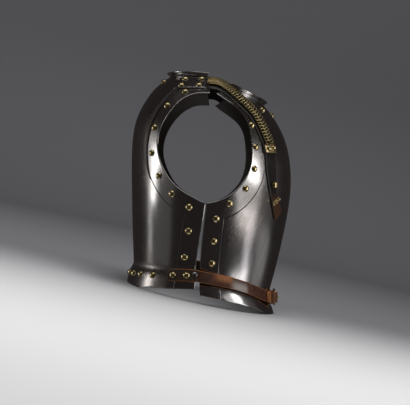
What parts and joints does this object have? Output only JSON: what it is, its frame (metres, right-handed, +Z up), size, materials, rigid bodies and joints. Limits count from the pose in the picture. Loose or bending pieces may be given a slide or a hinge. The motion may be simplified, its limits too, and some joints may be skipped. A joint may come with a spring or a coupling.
{
  "type": "cavalry cuirass",
  "caption": "Cavalry cuirass: hollow steel breastplate and backplate with brass-riveted borders, shoulder straps faced with brass chain, and a buckled leather waist belt.",
  "frame": {"origin": "middle of the object's box seen from above, on the ground under both lower rims", "axes": "+Z up; the breastplate faces -Y and the backplate +Y; the wearer's right side is -X. The cuirass leans back about 13 degrees, as it stands by itself on both rims"},
  "size_m": [0.3456, 0.3468, 0.4204],
  "materials": {
    "steel": "polished, fine vertical brushing, light wear",
    "brass": "aged, darkened in the hollows",
    "black_leather": "worn black leather with pale cut edges",
    "brown_leather": "worn reddish brown leather"
  },
  "bodies": {
    "root": {"backplate": "steel", "backplate_rivet_1_left": "brass", "backplate_rivet_1_right": "brass", "backplate_rivet_2_left": "brass", "backplate_rivet_2_right": "brass", "backplate_rivet_3_left": "brass", "backplate_rivet_3_right": "brass", "backplate_rivet_4_left": "brass", "backplate_rivet_4_right": "brass", "backplate_rivet_5_left": "brass", "backplate_rivet_5_right": "brass", "backplate_rivet_6_left": "brass", "backplate_rivet_6_right": "brass", "backplate_rivet_7_left": "brass", "backplate_rivet_7_right": "brass", "backplate_rivet_8_left": "brass", "backplate_rivet_8_right": "brass", "backplate_rivet_9_left": "brass", "backplate_rivet_9_right": "brass", "belt_buckle_frame": "brass", "belt_buckle_prong": "brass", "belt_keeper": "brown_leather", "belt_rivet_1_left": "brass", "belt_rivet_1_right": "brass", "belt_rivet_2_left": "brass", "belt_rivet_2_right": "brass", "belt_seam_stud_left": "steel", "belt_seam_stud_right": "steel", "belt_strap_left": "brown_leather", "belt_strap_right": "brown_leather", "breast_stud_left": "brass", "breast_stud_right": "brass", "breastplate": "steel", "breastplate_rivet_1_left": "brass", "breastplate_rivet_1_right": "brass", "breastplate_rivet_2_left": "brass", "breastplate_rivet_2_right": "brass", "breastplate_rivet_3_left": "brass", "breastplate_rivet_3_right": "brass", "breastplate_rivet_4_left": "brass", "breastplate_rivet_4_right": "brass", "breastplate_rivet_5_left": "brass", "breastplate_rivet_5_right": "brass", "breastplate_rivet_6_left": "brass", "breastplate_rivet_6_right": "brass", "breastplate_rivet_7_left": "brass", "breastplate_rivet_7_right": "brass", "breastplate_rivet_8_left": "brass", "breastplate_rivet_8_right": "brass", "shoulder_chain_left": "brass", "shoulder_chain_right": "brass", "shoulder_strap_left": "black_leather", "shoulder_strap_right": "black_leather", "strap_back_plate_left": "steel", "strap_back_plate_right": "steel", "strap_front_plate_left": "brass", "strap_front_plate_right": "brass", "strap_tip_bar_left": "brass", "strap_tip_bar_right": "brass"}
  },
  "joints": []
}
